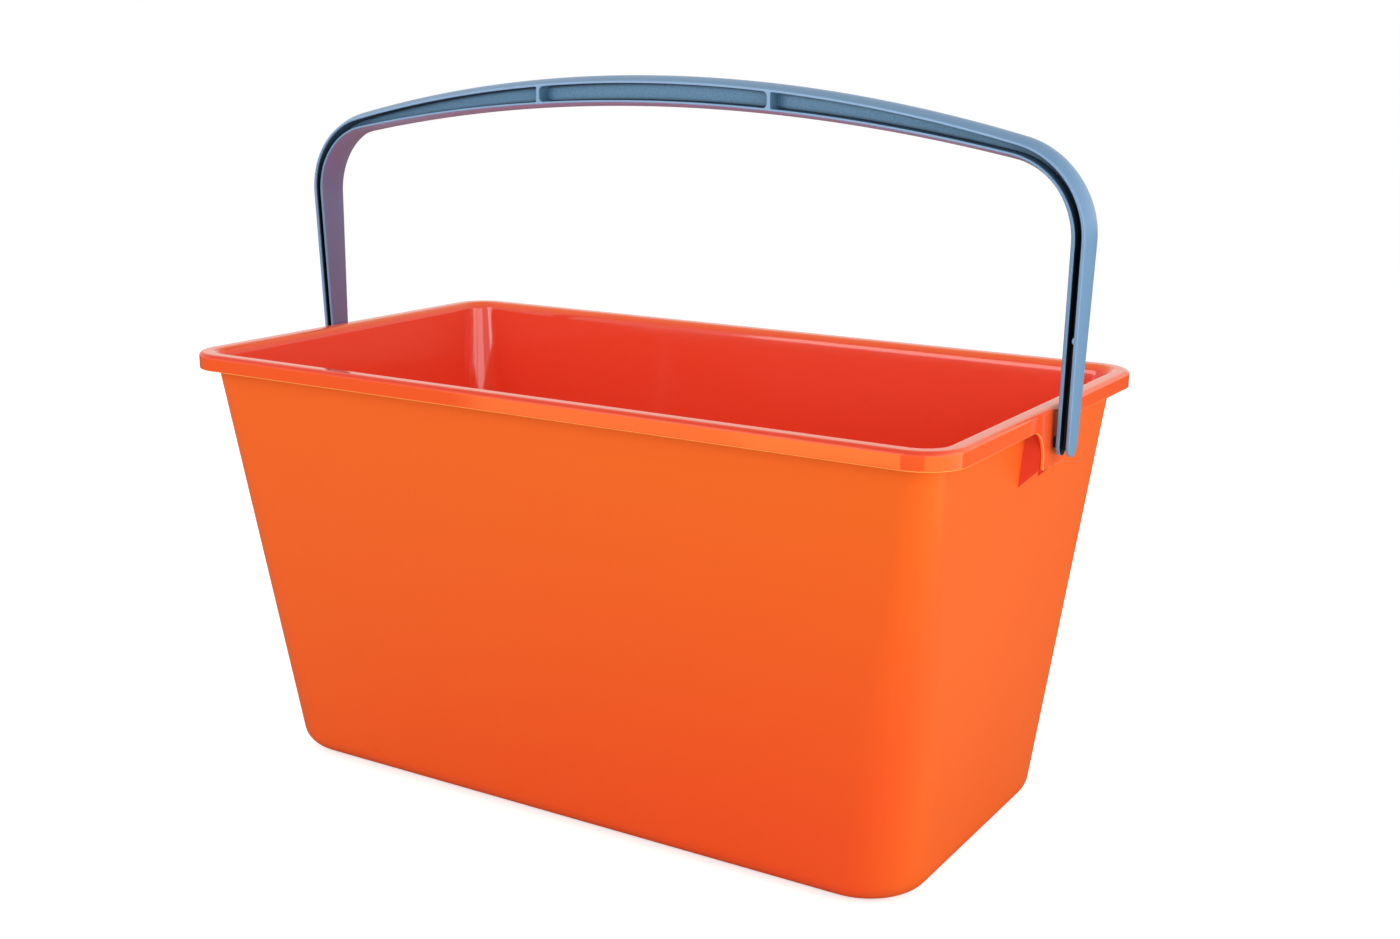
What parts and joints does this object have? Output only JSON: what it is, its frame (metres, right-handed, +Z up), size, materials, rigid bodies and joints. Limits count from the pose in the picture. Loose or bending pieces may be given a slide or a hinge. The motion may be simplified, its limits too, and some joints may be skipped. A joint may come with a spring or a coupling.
{
  "type": "bucket",
  "caption": "Rectangular cleaning bucket with tapered walls, a turned-down rim and a swinging moulded carrying handle.",
  "frame": {"origin": "middle of the foot, on the level the bucket stands on", "axes": "+X along the bucket's long side to its right end, -Y to its front wall, +Z up"},
  "size_m": [0.506, 0.2724, 0.4068],
  "materials": {
    "shell_plastic": "glossy injection-moulded polypropylene, coloured in the mass",
    "handle_plastic": "semi-gloss injection-moulded polypropylene, coloured in the mass"
  },
  "bodies": {
    "bucket": {"bucket_shell": "shell_plastic"},
    "bail": {"bail_handle": "handle_plastic"}
  },
  "joints": [
    {"name": "bail_pivot", "type": "hinge", "parent": "bucket", "child": "bail", "pos_m": [0, 0, 0.2293], "axis": [1, 0, 0], "range_deg": [-122, 122]}
  ]
}
